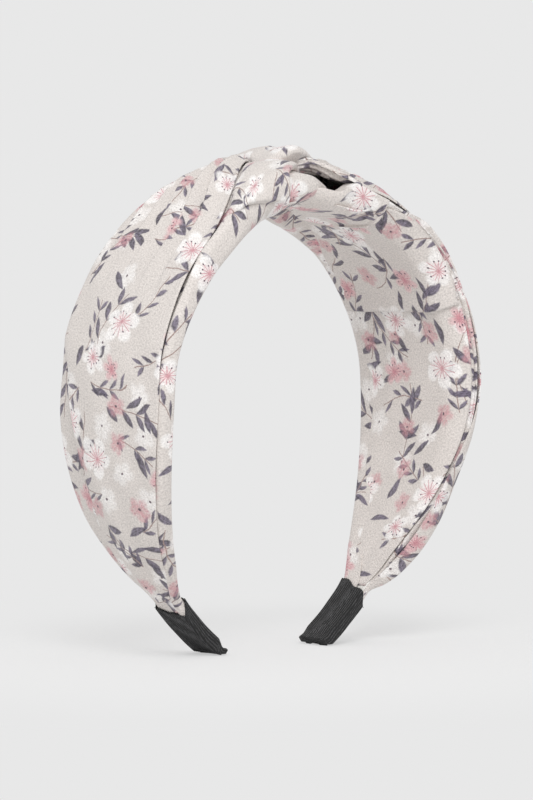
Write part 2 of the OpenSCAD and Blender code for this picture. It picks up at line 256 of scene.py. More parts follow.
class Graph:
    """Short ways to add the nodes of one tree."""

    def __init__(self, tree):
        self.tree = tree
        self.tree.nodes.clear()

    def add(self, kind, **settings):
        node = self.tree.nodes.new(kind)
        for key, value in settings.items():
            setattr(node, key, value)
        return node

    def put(self, socket, value):
        if isinstance(value, bpy.types.NodeSocket):
            self.tree.links.new(value, socket)
        else:
            socket.default_value = value

    def math(self, operation, *values):
        node = self.add("ShaderNodeMath", operation=operation)
        for socket, value in zip(node.inputs, values):
            self.put(socket, value)
        return node.outputs[0]

    def plus(self, a, b):
        return self.math("ADD", a, b)

    def minus(self, a, b):
        return self.math("SUBTRACT", a, b)

    def times(self, product, *values):
        for value in values:
            product = self.math("MULTIPLY", product, value)
        return product

    def over(self, a, b):
        return self.math("DIVIDE", a, b)

    def scaled(self, value, factor, start):
        """The value times a factor, added to a start."""
        return self.math("MULTIPLY_ADD", value, factor, start)

    def absolute(self, value):
        return self.math("ABSOLUTE", value)

    def distance(self, x, y):
        return self.math("SQRT", self.plus(self.times(x, x), self.times(y, y)))

    def smooth(self, value, low, high):
        """0 below low and 1 above high, with a soft step between."""
        node = self.add("ShaderNodeMapRange", interpolation_type="SMOOTHSTEP")
        for key, v in (("Value", value), ("From Min", low), ("From Max", high)):
            self.put(node.inputs[key], v)
        return node.outputs[0]

    def fading(self, value, low, high):
        """1 below low and 0 above high, with a soft step between."""
        return self.minus(1.0, self.smooth(value, low, high))

    def mix(self, factor, a, b):
        node = self.add("ShaderNodeMix", data_type="RGBA")
        self.put(node.inputs[0], factor)
        self.put(node.inputs[6], a)
        self.put(node.inputs[7], b)
        return node.outputs[2]

    def vector(self, x, y, z):
        node = self.add("ShaderNodeCombineXYZ")
        for socket, value in zip(node.inputs, (x, y, z)):
            self.put(socket, value)
        return node.outputs[0]

    def split(self, value):
        node = self.add("ShaderNodeSeparateXYZ")
        self.put(node.inputs[0], value)
        return node.outputs

    def random(self, x, y, seed):
        """Three random values for one cell."""
        node = self.add("ShaderNodeTexWhiteNoise", noise_dimensions="3D")
        self.put(node.inputs["Vector"], self.vector(x, y, seed))
        return self.split(node.outputs["Color"])

    def noise(self, at, scale, detail=2.0):
        node = self.add("ShaderNodeTexNoise")
        self.put(node.inputs["Vector"], at)
        node.inputs["Scale"].default_value = scale
        node.inputs["Detail"].default_value = detail
        return node.outputs["Fac"]

    def turned(self, x, y, angle):
        """x and y in axes turned by an angle, a socket or a number."""
        c = self.math("COSINE", angle)
        s = self.math("SINE", angle)
        along = self.plus(self.times(x, c), self.times(y, s))
        beside = self.minus(self.times(y, c), self.times(x, s))
        return along, beside

    def mix_shader(self, factor, a, b, output):
        node = self.add("ShaderNodeMixShader")
        self.put(node.inputs[0], factor)
        self.put(node.inputs[1], a.outputs[0])
        self.put(node.inputs[2], b.outputs[0])
        self.put(self.add(output).inputs["Surface"], node.outputs[0])

    def surface(self, color, roughness, height=None, depth=0.0, sheen=0.0, specular=0.5):
        shader = self.add("ShaderNodeBsdfPrincipled")
        self.put(shader.inputs["Base Color"], color)
        self.put(shader.inputs["Roughness"], roughness)
        shader.inputs["Sheen Weight"].default_value = sheen
        shader.inputs["Specular IOR Level"].default_value = specular
        if height is not None:
            bump = self.add("ShaderNodeBump")
            bump.inputs["Strength"].default_value = 1.0
            bump.inputs["Distance"].default_value = depth
            self.put(bump.inputs["Height"], height)
            self.put(shader.inputs["Normal"], bump.outputs[0])
        out = self.add("ShaderNodeOutputMaterial")
        self.put(out.inputs["Surface"], shader.outputs[0])


def new_material(name):
    material = bpy.data.materials.new(name)
    material.use_nodes = True
    return material, Graph(material.node_tree)


def scatter(g, x, y, cell, angle, seed, jitter):
    """Cells of a turned grid, each with its own place and turn: local x and y, and random values."""
    u, v = g.turned(x, y, angle)
    u, v = g.over(u, cell), g.over(v, cell)
    iu, iv = g.math("FLOOR", u), g.math("FLOOR", v)
    place, more = g.random(iu, iv, seed), g.random(iu, iv, seed + 0.37)
    local = []
    for value, whole, shift in ((u, iu, place[0]), (v, iv, place[1])):
        off = g.scaled(shift, jitter, 0.5 - jitter / 2)
        local.append(g.times(g.minus(g.minus(value, whole), off), cell))
    lx, ly = g.turned(local[0], local[1], g.times(place[2], 2 * math.pi))
    return lx, ly, more


def leaf(g, along, beside, length, width):
    """Mask of a pointed leaf that starts at along = 0."""
    share = g.minus(g.over(g.times(along, 2.0), length), 1.0)
    half = g.times(g.minus(1.0, g.times(share, share)), width / 2)
    return g.smooth(g.minus(half, g.absolute(beside)), -0.15, 0.35)


def leaf_tone(g, along, beside, length, value):
    """Washed slate violet, streaked along the leaf and paler at its end."""
    streak = g.noise(g.vector(g.times(along, 0.8), g.times(beside, 2.6), value), 1.0, 4.0)
    pale = g.times(g.over(along, length), 0.4)
    light = g.plus(g.times(g.smooth(streak, 0.38, 0.62), 0.75), pale)
    light = g.plus(light, g.scaled(value, 0.4, -0.2))
    return g.mix(light, LEAF_DARK, LEAF_PALE)


def add_sprigs(g, color, x, y, cell, angle, seed, gap, length):
    """Curved stems with leaves on both sides, a gap apart."""
    lx, ly, more = scatter(g, x, y, cell, angle, seed, jitter=0.3)
    bend = g.times(g.minus(more[0], 0.5), 0.06)
    off_stem = g.minus(ly, g.times(lx, lx, bend))
    reach = g.scaled(more[1], 0.08 * cell, 0.32 * cell)
    on_stem = g.fading(g.absolute(lx), reach, g.plus(reach, 0.3))
    stem = g.fading(g.absolute(off_stem), 0.08, 0.26)
    color = g.mix(g.times(stem, on_stem), color, STEM)
    place = g.math("FLOOR", g.over(lx, gap))
    start = g.minus(lx, g.times(place, gap))
    along, beside = g.turned(start, g.absolute(off_stem), math.radians(38))
    odd = g.random(place, g.math("SIGN", off_stem), g.scaled(more[2], 9.0, seed))
    mask = g.times(leaf(g, along, beside, length, 0.31 * length), g.math("GREATER_THAN", odd[0], 0.3))
    within = g.math("LESS_THAN", g.absolute(g.scaled(place, gap, gap / 2)), reach)
    mask = g.times(mask, within)
    return g.mix(g.times(mask, 0.92), color, leaf_tone(g, along, beside, length, odd[1]))


def add_leaves(g, color, x, y, cell, angle, seed, length, width):
    """Single leaves in between."""
    lx, ly, more = scatter(g, x, y, cell, angle, seed, jitter=0.5)
    along = g.plus(lx, 4.2)
    curl = g.times(g.times(lx, lx), g.scaled(more[2], 0.06, -0.03))
    beside = g.minus(ly, curl)
    mask = g.times(leaf(g, along, beside, length, width), g.math("GREATER_THAN", more[0], 0.42))
    return g.mix(g.times(mask, 0.92), color, leaf_tone(g, along, beside, length, more[1]))


def petal_wave(g, turn):
    """1 at the middle of each of five petals and 0 between them."""
    return g.absolute(g.math("COSINE", g.times(turn, 2.5)))


def add_blossoms(g, color, x, y, cell, angle, seed, kept, radius, soft, petals, blush):
    """Five-petalled blossoms with fine stamens that end in dark dots."""
    lx, ly, more = scatter(g, x, y, cell, angle, seed, jitter=0.45)
    size = g.scaled(more[1], 0.3 * radius, 0.82 * radius)
    turn = g.math("ARCTAN2", ly, lx)
    away = g.distance(lx, ly)
    wave = petal_wave(g, turn)
    edge = g.times(g.scaled(g.math("POWER", wave, 0.6), 0.48, 0.52), size)
    mask = g.fading(away, g.minus(edge, soft), g.plus(edge, 0.15))
    mask = g.times(mask, g.math("LESS_THAN", more[0], kept))
    share = g.over(away, size)
    wash = g.noise(g.vector(lx, ly, seed), 0.55, 3.0)
    hue = g.times(g.fading(share, 0.0, 0.75), g.smooth(wash, 0.25, 0.75))
    petal = g.mix(g.times(hue, 0.9), petals, blush)
    petal = g.mix(g.times(g.fading(wave, 0.0, 0.25), 0.25), petal, blush)
    thin = g.times(g.fading(wash, 0.2, 0.6), 0.25)
    color = g.mix(g.times(mask, g.minus(0.95, thin)), color, petal)
    return add_stamens(g, color, turn, away, size, mask, more[2], seed)


def add_stamens(g, color, turn, away, size, mask, value, seed):
    """Fine lines from a blossom's middle, each with its own length and most with a dot at the end."""
    count = 13
    share = g.over(away, size)
    spokes = g.times(turn, count / (2 * math.pi))
    spoke = g.minus(g.math("FRACT", spokes), 0.5)
    own = g.random(g.math("FLOOR", spokes), value, seed)
    beside = g.times(spoke, away, 2 * math.pi / count)
    reach = g.scaled(own[0], 0.3, 0.34)
    inside = g.fading(share, reach, g.plus(reach, 0.05))
    line = g.times(g.fading(g.absolute(beside), 0.04, 0.2), inside, mask)
    color = g.mix(g.times(line, 0.8), color, STAMEN)
    end = g.times(g.minus(share, reach), size)
    dot = g.fading(g.distance(end, beside), 0.14, 0.36)
    dot = g.times(dot, g.math("GREATER_THAN", own[1], 0.35), mask)
    return g.mix(dot, color, STAMEN_DOT)


def add_buds(g, color, x, y, cell, angle, seed, kept, radius, tint):
    """Small washed blooms with a dark middle."""
    lx, ly, more = scatter(g, x, y, cell, angle, seed, jitter=0.55)
    away = g.distance(lx, ly)
    turn = g.math("ARCTAN2", ly, lx)
    edge = g.scaled(petal_wave(g, turn), 0.32 * radius, 0.76 * radius)
    mask = g.fading(away, g.times(edge, 0.5), edge)
    mask = g.times(mask, g.math("LESS_THAN", more[0], kept))
    wash = g.smooth(g.noise(g.vector(lx, ly, seed), 0.9, 4.0), 0.25, 0.7)
    rays = g.absolute(g.math("COSINE", g.times(turn, 9.0)))
    depth = g.times(g.scaled(wash, 0.55, 0.4), g.scaled(rays, 0.35, 0.65))
    color = g.mix(g.times(mask, depth), color, tint)
    heart = g.times(g.fading(away, 0.25, 0.55), g.math("LESS_THAN", more[0], kept))
    return g.mix(heart, color, BUD_HEART)


def print_cloth(name):
    """Pale crepe with a loose washed print of blossoms, sprigs and leaves, sizes in millimetres."""
    material, g = new_material(name)
    uv = g.add("ShaderNodeUVMap", uv_map="cloth").outputs[0]
    x, y, _ = g.split(uv)
    for scale, amount in ((0.06, 5.0), (1.3, 0.4)):
        wobble = g.minus(g.noise(uv, scale), 0.5)
        x = g.scaled(wobble, amount, x)
        y = g.scaled(wobble, -amount, y)
    color = add_buds(g, GROUND, x, y, cell=17.0, angle=2.2, seed=61.0, kept=0.6, radius=5.2, tint=WHITE)
    color = add_sprigs(g, color, x, y, cell=31.0, angle=0.5, seed=3.0, gap=6.2, length=7.6)
    color = add_sprigs(g, color, x, y, cell=23.0, angle=1.9, seed=17.0, gap=4.2, length=5.2)
    color = add_leaves(g, color, x, y, cell=13.0, angle=1.1, seed=11.0, length=8.6, width=2.5)
    color = add_buds(g, color, x, y, cell=15.0, angle=0.2, seed=23.0, kept=0.5, radius=4.2, tint=ROSE)
    color = add_blossoms(g, color, x, y, cell=24.0, angle=0.85, seed=41.0,
                         kept=0.8, radius=7.0, soft=1.5, petals=WHITE, blush=PINK)
    color = add_blossoms(g, color, x, y, cell=31.0, angle=1.4, seed=53.0,
                         kept=0.5, radius=5.2, soft=2.0, petals=PINK, blush=ROSE)
    grain = g.noise(uv, 1.7, 3.0)
    shade = g.plus(g.scaled(grain, 0.9, 0.5), g.times(g.noise(uv, 0.12), 0.12))
    shaded = g.add("ShaderNodeVectorMath", operation="SCALE")
    g.put(shaded.inputs[0], color)
    g.put(shaded.inputs["Scale"], shade)
    g.surface(shaded.outputs[0], 0.6, grain, 0.3 * MM, sheen=0.2, specular=0.35)
    return material


def plain(name, color, roughness, grain=None, depth=0.0):
    """One colour, with an optional fine grain in object space given per metre."""
    material, g = new_material(name)
    height = None
    if grain:
        at = g.add("ShaderNodeTexCoord").outputs["Object"]
        height = g.noise(at, grain)
    g.surface(color, roughness, height, depth)
    return material


def ribbon_weave(name):
    """Black ribbon with fine ribs along its length, their crests painted lighter as a highlight."""
    material, g = new_material(name)
    uv = g.add("ShaderNodeUVMap", uv_map="cloth").outputs[0]
    x, y, _ = g.split(uv)
    streak = g.noise(g.vector(g.times(x, 3.2), g.times(y, 0.35), 0.0), 1.0, 3.0)
    rib = g.scaled(g.math("SINE", g.times(x, 2 * math.pi)), 0.5, 0.5)
    rib = g.times(rib, g.smooth(streak, 0.25, 0.6))
    fleck = g.noise(uv, 2.2)
    # The pale colour lies only on the ribs' crests, where the bump is high: a painted highlight, broken up by
    # random flecks.
    light = g.times(g.smooth(rib, 0.35, 0.95), g.smooth(fleck, 0.25, 0.65))
    g.surface(g.mix(light, RIBBON_DARK, RIBBON_RIB_HIGHLIGHT), 0.8, rib, 0.2 * MM, sheen=0.1)
    return material


PRINT = print_cloth("print_cloth")
PLASTIC = plain("core_plastic", linear(225, 223, 218), roughness=0.45)
WADDING = plain("wadding", linear(240, 239, 236), roughness=0.9, grain=900.0, depth=0.4 * MM)
THREAD = plain("thread", linear(230, 226, 220), roughness=0.7, grain=5000.0, depth=0.1 * MM)
RIBBON = ribbon_weave("black_ribbon")

# The cloth pieces


def pleats(v, places, soft):
    """A saw of laid pleats over v: each rises slowly and falls at the next place."""
    stops = np.concatenate([[0.0], places, [1.0]])
    height = np.zeros_like(v)
    for low, high in zip(stops, stops[1:]):
        share = (v - low) / (high - low)
        rise = np.clip(share, 0.0, 1.0 - soft) / (1.0 - soft)
        fall = np.clip((1.0 - share) / soft, 0.0, 1.0)
        height = np.where((v >= low) & (v <= high), rise * fall, height)
    return height


def near_edge(t):
    """Where an outer wrap's folded edge lies: along the arm's edge, then over its own fold."""
    half = layer_w(t, COVER_W) / 2 - 1.0
    return -half + curve(t, (0, 26), (10, 18), (18, 12), (27, 6), (36, 1.6), (48, 0))


def far_edge(t, side):
    """The outer wrap's other edge: it narrows into the knot.

    Towards the tip the left one draws in, and the right one bulges out."""
    half = layer_w(t, COVER_W) / 2 - 0.3
    if side == LEFT:
        inset = curve(t, (74, 0), (84, 4.5), (91, 7.5), (100, DRAWN_IN_W), (110, 8.6), (117, 5.0), (125, 0.6))
    else:
        inset = -curve(t, (36, 0), (50, 0.6), (96, 0.7), (112, 1.1), (121, 1.5), (127, 0.6), (130, 0))
    crown_half = COVER_W[0] / 2
    narrow = curve(t, (0, 9), (4, 14), (9, 21), (16, crown_half)) - crown_half
    return half + narrow - inset


def drawn_in(t):
    """Share, along the arm, where the left outer wrap's far edge lies well inside the arm's edge."""
    return curve(t, (74, 0), (90, 1), (116, 1), (126, 0))


def over_edge(t):
    """How far the outer wrap lies over the under layer: less where it goes into the ribbon."""
    return 0.9 - 0.75 * step(t, 119.0, 128.0)


def near_height(t):
    """How high the outer wrap's folded edge lies: raised where it crosses its own fold."""
    lift = curve(t, (0, -4.0), (5, 0.0), (9, 6.2), (14, 6.9), (21, 4.6),
                 (28, 2.4), (36, 0.6), (48, -0.7), (62, -1.2))
    lift = lift * (0.3 + 0.7 * padding_share(t)) * (1.0 - step(t, 120.0, 128.0))
    return top_of_edge(t) + over_edge(t) + lift


def far_height(t):
    """How high its other edge lies: it stands open beside the knot."""
    lift = curve(t, (0, 4.0), (4, 5.0), (9, 2.0), (16, 0.4), (30, 0.3), (44, 0.0))
    return top_of_edge(t) + over_edge(t) + lift


def wrap_fullness(t, v, side):
    """Loose cloth near the tip: low on the left arm, and out to the far edge on the right one."""
    full = curve(t, (104, 0), (114, 0.5), (121, 0.9), (125, 1.0), (127.5, 0.7), (130.4, 0))
    full = full * step(v, 0.0, 0.5)
    if side == LEFT:
        full = 0.55 * full * (1.0 - step(v, 0.6, 0.9))
    return full


def wrap_pleats(t, v):
    """Gathers beside the knot and at the ribbon, and slack in between."""
    drift = v + 0.015 * np.sin(t / 5.0)
    knot = 3.5 * (pleats(drift, [0.2, 0.36, 0.55, 0.7, 0.86], 0.14) - 0.4)
    knot = knot * (1.0 - step(t, 14.0, 70.0)) * step(v, 0.0, 0.06) * (1.0 - step(v, 0.92, 1.0))
    tip = 0.7 * step(t, 106.0, 126.0) * (pleats(v, [0.34, 0.62], 0.3) - 0.3)
    tip = tip * (1.0 - step(t, 126.6, 128.6))
    slack = 0.3 * np.sin(t / 5.3 + 6.0 * v) * np.sin(9.0 * v + t / 11.0) * padding_share(t)
    return knot + tip + slack


def outer_wrap(side, name, origin):
    """The outer layer: from its folded edge over the padding to the arm's far edge."""
    t = spread((0.0, 0), (20.0, 80), (60.0, 80), (128.0, 110), (133.0, 8))[:, None]
    # The first columns turn the cloth under itself at the folded edge
    turn = np.concatenate([np.linspace(0.0, 1.0, 12), np.ones(130)])[None, :]
    v = np.concatenate([np.zeros(11), spread((0.0, 0), (0.9, 110), (1.0, 20))])[None, :]
    near, far = near_edge(t), far_edge(t, side)
    fold = 0.45 * (1.0 - 0.6 * step(t, 108.0, 126.0))
    across = near + fold + (far - near - fold) * v
    crowned = 1.0 - (2.0 * v - 1.0) ** 2
    n = near_height(t) + (far_height(t) - near_height(t)) * step(v, 0.0, 1.0 / 1.15)
    n = n + PAD_SWELL * padding_share(t) * crowned * step(t, 8.0, 24.0)
    n = n + curve(t, (8, 0), (15, 1.5), (22, 2.5), (32, 1.4), (46, 0)) * crowned
    full = wrap_fullness(t, v, side)
    n = n + 2.6 * full + wrap_pleats(t, v)
    if side == RIGHT:
        across = across + 1.8 * full * np.sin(math.pi * part(v, 0.6, 1.0))
    # The far edge rolls down: on the left arm above where it draws in, on the right one towards the tip
    down = part(v, 0.9, 1.0)
    if side == LEFT:
        roll = 4.2 * step(t, 19.0, 37.0) * (1.0 - step(t, 78.0, 90.0)) * padding_share(t)
    else:
        roll = 1.15 * step(t, 84.0, 108.0) * np.maximum(n[:, -1:] + 0.6, 0.0)
    n = n - roll * (1.0 - np.sqrt(1.0 - 0.98 * down ** 2))
    across = across + 0.2 * np.minimum(roll, 4.2) * np.sin(down * math.pi * 0.8)
    # The folded edge: half a turn from the under side to the top
    angle = math.pi * (1.0 - turn)
    edge = (turn < 1.0) * fold
    across = across - edge * np.sin(angle) + edge * 2.2 * (1.0 - part(turn, 0.0, 0.3))
    n = n - edge * (1.0 - np.cos(angle))
    return cloth(name, on_arm(side, t, across, n), CLOTH_T * 0.8, PRINT, origin)


def left_fold_lines(t):
    """Lines along the left arm's fold: its under side, top, half width, upper end and the end's fall."""
    low = curve(t, (-8, 0.3), (-2, -1.7), (3, -3.0), (8, -4.0), (12, -4.3), (18, -3.9),
                (28, -3.4), (44, -3.3), (58, -3.0), (84, -2.0))
    top = curve(t, (-8, 6.0), (-3, 8.2), (2, 10.0), (8, 11.4), (15, 11.6), (22, 9.0), (32, 6.2), (44, 4.8))
    reach = curve(t, (-8, 8), (0, 10.5), (12, 11), (22, 9), (32, 5.5), (44, 3.2))
    upper = np.minimum(near_edge(np.maximum(t, 1.0)) + 6.0, -1.0)
    drop = curve(t, (-8, 2.0), (0, 3.0), (20, 1.5), (40, 0.0))
    return low, top, reach, upper, drop


def right_fold_lines(t):
    """The same lines for the right arm's fold, which lies over the left one."""
    half = layer_w(np.maximum(t, 0.0), COVER_W) / 2
    low = curve(t, (-10, -1.0), (0, -2.8), (8, -4.8), (15, -5.8), (24, -5.0), (34, -3.4), (44, -2.0))
    top = curve(t, (-10, 11.4), (-6, 13.4), (-2, 15.1), (2, 15.4), (6, 14.2), (11, 12.0),
                (17, 10.2), (24, 8.0), (34, 5.8), (44, 4.8))
    reach = curve(t, (-10, 17), (0, 19), (10, 14), (22, 9), (32, 5.5), (44, 3.2))
    upper = curve(t, (-10, 12), (0, 12), (8, 7), (14, 0.5), (22, -8), (36, -16.5))
    upper = np.where(t > 36.0, np.minimum(8.2, 0.8 * half) - half, upper)
    drop = curve(t, (-10, 8.0), (0, 7.0), (10, 3.0), (20, 1.2), (40, 0.0))
    return low, top, reach, upper, drop


def signed_power(x, power):
    return np.sign(x) * np.abs(x) ** power


def under_wrap_edge(t, across):
    """The height that keeps the left fold under its outer wrap's folded edge."""
    t_on = np.maximum(t, 0.0)
    roof = near_height(t_on) - 1.5 - 0.8 * (1.0 - step(t, 96.0, 110.0))
    return roof + 0.9 * np.maximum(near_edge(t_on) - 0.3 - across, 0.0)


def fold_section(t, side, p):
    """Section of an arm's fold: turned-in hem, round the edge, and up under the outer wrap."""
    half = layer_w(np.maximum(t, 0.0), COVER_W) / 2
    front = -half - curve(t, (-8, -3.0), (0, 0.4), (10, 1.6), (22, 1.6), (44, 1.4), (58, 1.2), (84, 0))
    lines = left_fold_lines if side == LEFT else right_fold_lines
    low, top, reach, upper, drop = lines(t)
    low = low + 0.8 * step(t, TUCK_DEG, TUCK_DEG + 5.0)
    top = np.where(t > 44.0, top_of_edge(t) - 1.7 * step(t, 44.0, 62.0) * padding_share(t), top)
    # From the hem's end at p = 0 to the upper end at p = 1
    hem = part(p, 0.0, 0.15)
    turn = part(p, 0.15, 0.65)
    over = part(p, 0.65, 1.0)
    angle = np.radians(270.0 - 180.0 * turn)
    square = curve(t, (14, 0.95), (44, 0.62))
    across = front + reach * (1.0 + signed_power(np.cos(angle), square)) + (1.0 - hem) * 4.5
    n = (low + top) / 2 + (top - low) / 2 * signed_power(np.sin(angle), square)
    n = n + (1.0 - hem) * np.maximum(-1.7 - low, 0.0)
    if side == LEFT:
        across = across + over * (upper - front - reach)
        n = n - drop * over ** 2
        n = np.where((t > 1.0) & (p > 0.6), np.minimum(n, under_wrap_edge(t, across)), n)
    else:
        # It ends in a brow that overhangs the other arm's fold
        flat = part(over, 0.0, 0.55)
        roll = part(over, 0.55, 0.7) * math.pi / 2
        under = part(over, 0.7, 1.0)
        brow = curve(t, (12, 1.4), (30, 0.3))
        across = across + flat * (upper - brow - front - reach) + brow * np.sin(roll) - 0.7 * drop * under
        n = n - brow * (1.0 - np.cos(roll)) - (drop - brow * 0.5) * under
    return across, n


def moved_inward(across, n, amount):
    """Section points moved towards the inside of the fold."""
    inside_across, inside_n = -12.0, 3.0
    to = np.stack([inside_across - across, inside_n - n])
    length = np.maximum(np.linalg.norm(to, axis=0), 1e-6)
    return across + amount * to[0] / length, n + amount * to[1] / length


def fold_rows(p, crease, end):
    """Angles and depths of a fold's rows: along the arm to its crease, back under it and out to the end."""
    near_knot = 36.0
    back_deg = 2.6
    to_crease = np.linspace(0.0, 1.0, 90)[1:, None]
    turn = np.linspace(0.0, math.pi, 14)[1:, None]
    back = np.linspace(0.0, 1.0, 8)[1:, None]
    out = np.linspace(0.0, 1.0, 60)[1:, None]
    close = np.linspace(0.0, math.pi, 12)[1:, None]
    runs = (
        (spread((CLOTH_END_DEG, 0), (60.0, 110), (near_knot, 50))[:, None], 0.0),
        (near_knot + (crease - near_knot) * to_crease, 0.0),
        (crease - 0.75 * np.sin(turn), 0.8 * (1.0 - np.cos(turn))),
        (crease + back_deg * back, 1.6 + 1.2 * back),
        (crease + back_deg + (end - crease - back_deg) * out, 2.8),
        (end - 0.9 * np.sin(close), 2.8 + 0.9 * (1.0 - np.cos(close))),
    )
    rows = [np.broadcast_arrays(t, deep, p) for t, deep in runs]
    return np.concatenate([row[0] for row in rows]), np.concatenate([row[1] for row in rows])


def knot_fold(side, name, origin):
    """An arm's strip along its near edge, up to the fold that it makes in the knot."""
    p = np.linspace(0.0, 1.0, 130)[None, :]
    if side == LEFT:
        crease = curve(p, (0.1, 14.5), (0.4, 14.0), (0.5, 11.0), (0.6, 4.0), (0.68, 0.0), (1.0, -1.5))
        end = curve(p, (0.12, 12.0), (0.18, 8.0), (0.24, 1.0), (0.3, -4.0),
                    (0.4, -6.6), (0.5, -4.5), (0.58, -1.0), (0.66, 0.0))
        end = np.minimum(end, crease - 0.3)
    else:
        crease = curve(p, (0.1, 2.0), (0.4, -3.0), (0.6, -4.8), (0.75, -7.5), (0.9, -11.0), (1.0, -12.0))
        end = crease - 0.3
    t, deep = fold_rows(p, crease, end)
    across, n = fold_section(t, side, p + 0.0 * t)
    across, n = moved_inward(across, n, deep * (0.35 + 0.65 * step(p, 0.2, 0.4)))
    # The fold's lower edge lies over the strip that runs up along the arm's edge
    if side == LEFT:
        line = curve(t, (12, 0.28), (19, 0.37), (24, 0.42), (30, 0.5), (36, 0.6))
        ridge = step(p, line, line + 0.018) * (1.0 - step(p, line, line + 0.4))
        ridge = ridge * (1.0 - step(t, 28.0, 40.0)) * (deep < 0.5)
        across, n = moved_inward(across, n, -1.8 * ridge)
    # Soft gathers that run up into the fold
    gather = (1.0 - step(np.abs(t - 14.0), 6.0, 32.0)) * step(p, 0.2, 0.35)
    n = n + 0.9 * gather * (pleats(p + 0.01 * np.sin(t / 5.0), [0.38, 0.55, 0.72, 0.86], 0.3) - 0.4)
    return cloth(name, on_arm(side, t, across, n), CLOTH_T, PRINT, origin)


def inner_rise(side, t, across):
    """How far the right arm's inside rises towards its far edge, where that arm is thin."""
    if side == LEFT:
        return 0.0 * t * across
    half = layer_w(t, COVER_W) / 2
    rise = curve(t, (14, 0), (26, 6.0), (70, 6.4), (96, 4.5), (110, 1.6), (119, 0))
    return rise * (1.0 - np.cos(part(across, half - 8.0, half) * math.pi / 2))


def far_side(t, p, inner, half, low, slope=0.0):
    """Section round an arm's far edge: from inside the arm, round the edge and in under the outer wrap.

    Beside the knot the cloth slants up to the edge; further down it runs squarely round the padding.
    slope is how far its top falls away towards the edge."""
    top = far_height(t) - 0.7 * over_edge(t) / 0.9 - slope
    top = low + (top - low) * curve(t, (2, 0.48), (8, 0.55), (13, 1.0))
    flat = part(p, 0.0, 0.4)
    turn = part(p, 0.4, 0.8)
    over = part(p, 0.8, 1.0)
    slant = np.minimum(9.0, 0.8 * (half - inner))
    slant_across = inner + (half - slant - inner) * flat + slant * np.sin(turn * math.pi / 2)
    slant_n = low + (top - low) * (1.0 - np.cos(turn * math.pi / 2))
    radius = np.minimum(3.0, 0.5 * half)
    angle = np.radians(270.0 + 180.0 * turn)
    round_across = inner + (half - radius - inner) * flat + radius * np.abs(np.cos(angle)) ** 0.7
    round_n = (low + top) / 2 + (top - low) / 2 * signed_power(np.sin(angle), 0.7)
    share = step(t, 24.0, 40.0)
    across = slant_across + (round_across - slant_across) * share - over * (5.0 + 4.5 * slope)
    return across, slant_n + (round_n - slant_n) * share + over * slope


def far_strip(side, name, origin):
    """The under layer's other edge, along the outer wrap's far side."""
    p = np.linspace(0.0, 1.0, 48)[None, :]
    t = spread((20.0, 0), (52.0, 60), (CLOTH_END_DEG, 110))[:, None]
    half = layer_w(t, COVER_W) / 2
    slope = 0.0
    if side == LEFT:
        half = half + curve(t, (80, 0), (94, 3.4), (112, 4.2), (122, 2.2), (128, 0))
        slope = 2.2 * drawn_in(t)
    inner = half - 8.0 + 4.0 * step(t, 110.0, 130.0)
    low = -CORE_HALF - 1.2 + 0.8 * step(t, TUCK_DEG, TUCK_DEG + 5.0)
    across, n = far_side(t, p, inner, half, low, slope)
    n = np.maximum(n, low + 0.7 + inner_rise(side, t, across))
    points = on_arm(side, t, across, n)[:, ::-1]
    return cloth(name, points, CLOTH_T, PRINT, origin)


def lining(side, name, t0, t1, origin):
    """A length of lining on the inside, from t0 to t1; the upper one's end lies over the lower one."""
    t = np.linspace(t0, t1, int((t1 - t0) * 1.4))[:, None]
    v = np.linspace(-1.0, 1.0, 90)[None, :]
    half = layer_w(t, COVER_W) / 2 - 1.0 + 0.3 * side * (v > 0.0)
    across = v * half
    slack = 0.3 * np.sin(t / 7.0 + 3.0 * v) * np.cos(4.0 * v + t / 13.0)
    n = -CORE_HALF - 1.6 + inner_rise(side, t, across) + slack + 0.75 * np.clip(-v, 0.0, 1.0) ** 14
    if t0 < SEAM_DEG - 1.0:
        n = n - 0.9 * step(t, SEAM_DEG - 7.0, SEAM_DEG - 1.0)
    n = n + 1.1 * step(t, TUCK_DEG, TUCK_DEG + 6.0)
    points = on_arm(side, t, across, n)[:, ::-1]
    return cloth(name, points, CLOTH_T, PRINT, origin)


def wrap_tail(side, name, origin):
    """End of a wrap that comes round the edge beside the knot and lies inside with a rounded edge."""
    t = spread((-4.0, 0), (20.0, 70), (24.6, 50))[:, None]
    p = np.linspace(0.0, 1.0, 90)[None, :]
    edge = curve(t, (-4, 10.0), (7, 2.2), (13, -2.3), (16.7, -3.2),
                 (20.6, -0.7), (22.6, 2.6), (24, 8.0), (24.6, 18.0))
    grow = 1.4 - 0.6 * step(t, 14.0, 24.0)
    # Its first end lies behind the other arm's fold
    half = layer_w(np.maximum(t, 0.0), COVER_W) / 2 + grow - 4.6 * (1.0 - step(t, -1.0, 11.0))
    low = -CORE_HALF - 1.9 - grow + 1.7 * (1.0 - step(t, -4.0, 7.0))
    across, n = far_side(t, p, edge, half, low)
    # Its free edge is rolled
    n = n - 0.7 * np.exp(-((p / 0.05) ** 2))
    points = on_arm(side, t, across, n)[:, ::-1]
    return cloth(name, points, 0.8, PRINT, origin)


def crown_sheet(name, n, thickness, origin, inside):
    """A plain piece of cloth across the crown, over the core or inside it."""
    t = np.linspace(-15.3, 15.3, 50)[:, None]
    across = np.linspace(-14.0, 14.0, 40)[None, :]
    points = on_arm(LEFT, t, across, n)
    if inside:
        points = points[:, ::-1]
    return cloth(name, points, thickness, PRINT, origin)


def core_half(side, name):
    """One arm's half of the core, which ends a little inside the ribbon."""
    t = np.linspace(0.0, END_DEG - 3.4, 150)[:, None]
    v = np.linspace(-1.0, 1.0, 12)[None, :]
    return cloth(name, on_arm(side, t, v * layer_w(t, CORE_W) / 2, CORE_HALF), 2 * CORE_HALF, PLASTIC)


